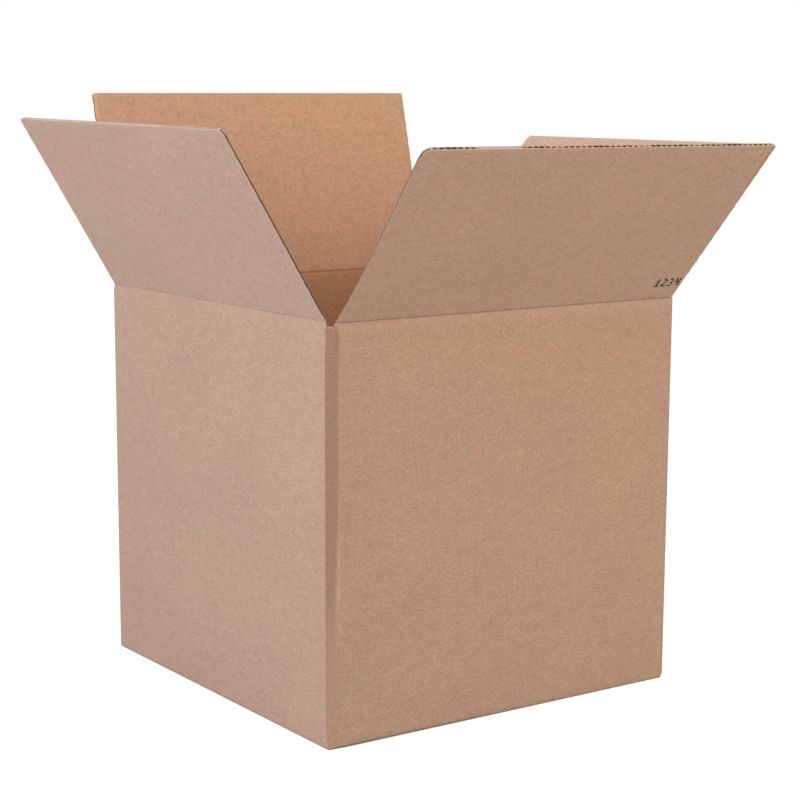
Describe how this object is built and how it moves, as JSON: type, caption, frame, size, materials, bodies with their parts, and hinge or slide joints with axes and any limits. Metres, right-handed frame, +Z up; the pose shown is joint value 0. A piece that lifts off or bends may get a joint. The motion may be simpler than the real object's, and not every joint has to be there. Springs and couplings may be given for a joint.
{
  "type": "open cardboard box",
  "caption": "Folded corrugated cardboard box with its bottom glued shut and its top flaps standing open, each hinged at its fold.",
  "frame": {"origin": "centre of the underside, where the outer bottom flaps lie on the floor", "axes": "+Z up; -Y out of the front wall, the right-hand one of the two walls in the picture; -X out of the left wall"},
  "size_m": [0.7534, 0.7024, 0.6813],
  "materials": {
    "kraft_board": "unbleached kraft liner, matt",
    "glue": "dried adhesive"
  },
  "bodies": {
    "carton": {"box_body": "kraft_board", "seam_glue": "glue", "bottom_glue": "glue"},
    "front_flap": {"front_flap": "kraft_board"},
    "left_flap": {"left_flap": "kraft_board"},
    "back_flap": {"back_flap": "kraft_board"},
    "right_flap": {"right_flap": "kraft_board"}
  },
  "joints": [
    {"name": "front_flap_fold", "type": "hinge", "parent": "carton", "child": "front_flap", "pos_m": [0, -0.242, 0.4502], "axis": [1, 0, 0], "range_deg": [-132.6, 135.4]},
    {"name": "left_flap_fold", "type": "hinge", "parent": "carton", "child": "left_flap", "pos_m": [-0.235, 0, 0.4545], "axis": [0, -1, 0], "range_deg": [-121.2, 146.8]},
    {"name": "back_flap_fold", "type": "hinge", "parent": "carton", "child": "back_flap", "pos_m": [0, 0.242, 0.4502], "axis": [-1, 0, 0], "range_deg": [-104.1, 163.9]},
    {"name": "right_flap_fold", "type": "hinge", "parent": "carton", "child": "right_flap", "pos_m": [0.235, 0, 0.4545], "axis": [0, 1, 0], "range_deg": [-134.3, 133.7]}
  ]
}
